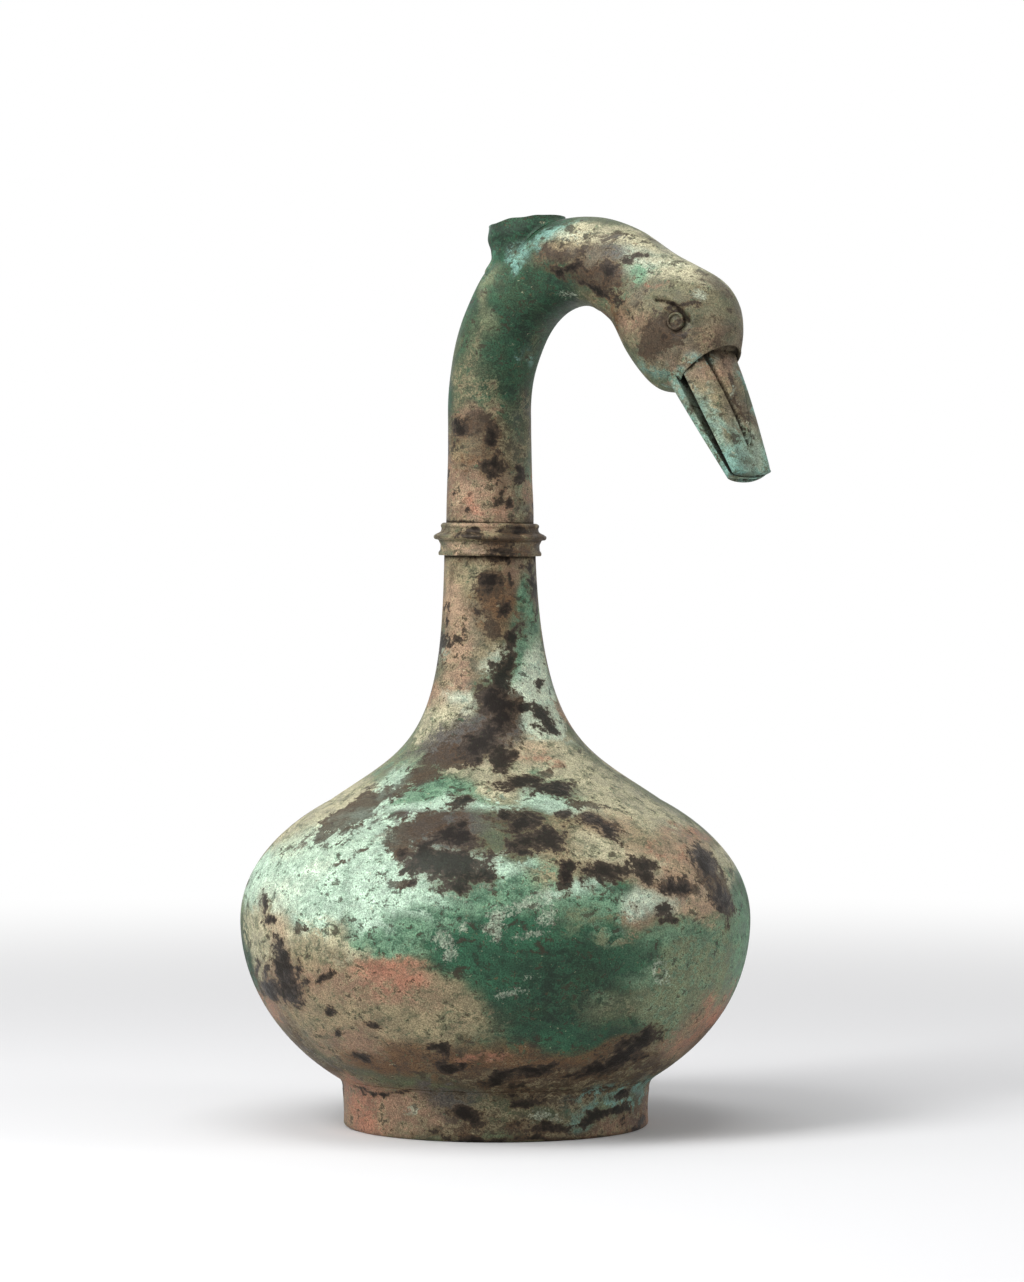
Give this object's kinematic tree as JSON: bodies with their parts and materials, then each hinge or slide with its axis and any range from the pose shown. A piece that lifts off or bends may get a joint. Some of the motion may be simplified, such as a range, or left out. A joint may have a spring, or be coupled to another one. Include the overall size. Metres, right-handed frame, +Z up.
{
  "type": "wine jar",
  "caption": "Bronze wine jar with a round belly on a foot ring, a long ringed neck bent over into a goose's head, a filling mouth on the bend and a slit between the bills.",
  "frame": {"origin": "under the middle of the whole jar, on the face that the foot ring stands on", "axes": "+Z up, +X the way the goose looks, +Y to the goose's left"},
  "size_m": [0.2318, 0.2044, 0.3627],
  "materials": {
    "foot_bronze": "cast bronze under earth and green corrosion",
    "belly_bronze": "cast bronze, mint and olive patina with dark bare patches",
    "collar_bronze": "cast bronze, tan and pink earth with green edges",
    "neck_bronze": "cast bronze, tan earth over emerald and dark patina",
    "mouth_bronze": "cast bronze, deep emerald patina",
    "head_bronze": "cast bronze, tan and olive-brown patina",
    "bill_bronze": "cast bronze, turquoise crust with brown",
    "eye_bronze": "cast bronze, pale green patina",
    "spacer_bronze": "dark bronze plates let into the wall"
  },
  "bodies": {
    "root": {"foot_ring": "foot_bronze", "belly_shell": "belly_bronze", "neck_collar": "collar_bronze", "goose_neck": "neck_bronze", "mouth_collar": "mouth_bronze", "goose_head": "head_bronze", "upper_bill": "bill_bronze", "lower_bill": "bill_bronze", "eye_left": "eye_bronze", "eye_right": "eye_bronze", "belly_spacer_1": "spacer_bronze", "belly_spacer_2": "spacer_bronze", "belly_spacer_3": "spacer_bronze", "belly_spacer_4": "spacer_bronze", "belly_spacer_5": "spacer_bronze", "belly_spacer_6": "spacer_bronze", "belly_spacer_7": "spacer_bronze", "belly_spacer_8": "spacer_bronze", "floor_spacer_1": "spacer_bronze", "floor_spacer_2": "spacer_bronze", "floor_spacer_3": "spacer_bronze", "floor_spacer_4": "spacer_bronze"}
  },
  "joints": []
}
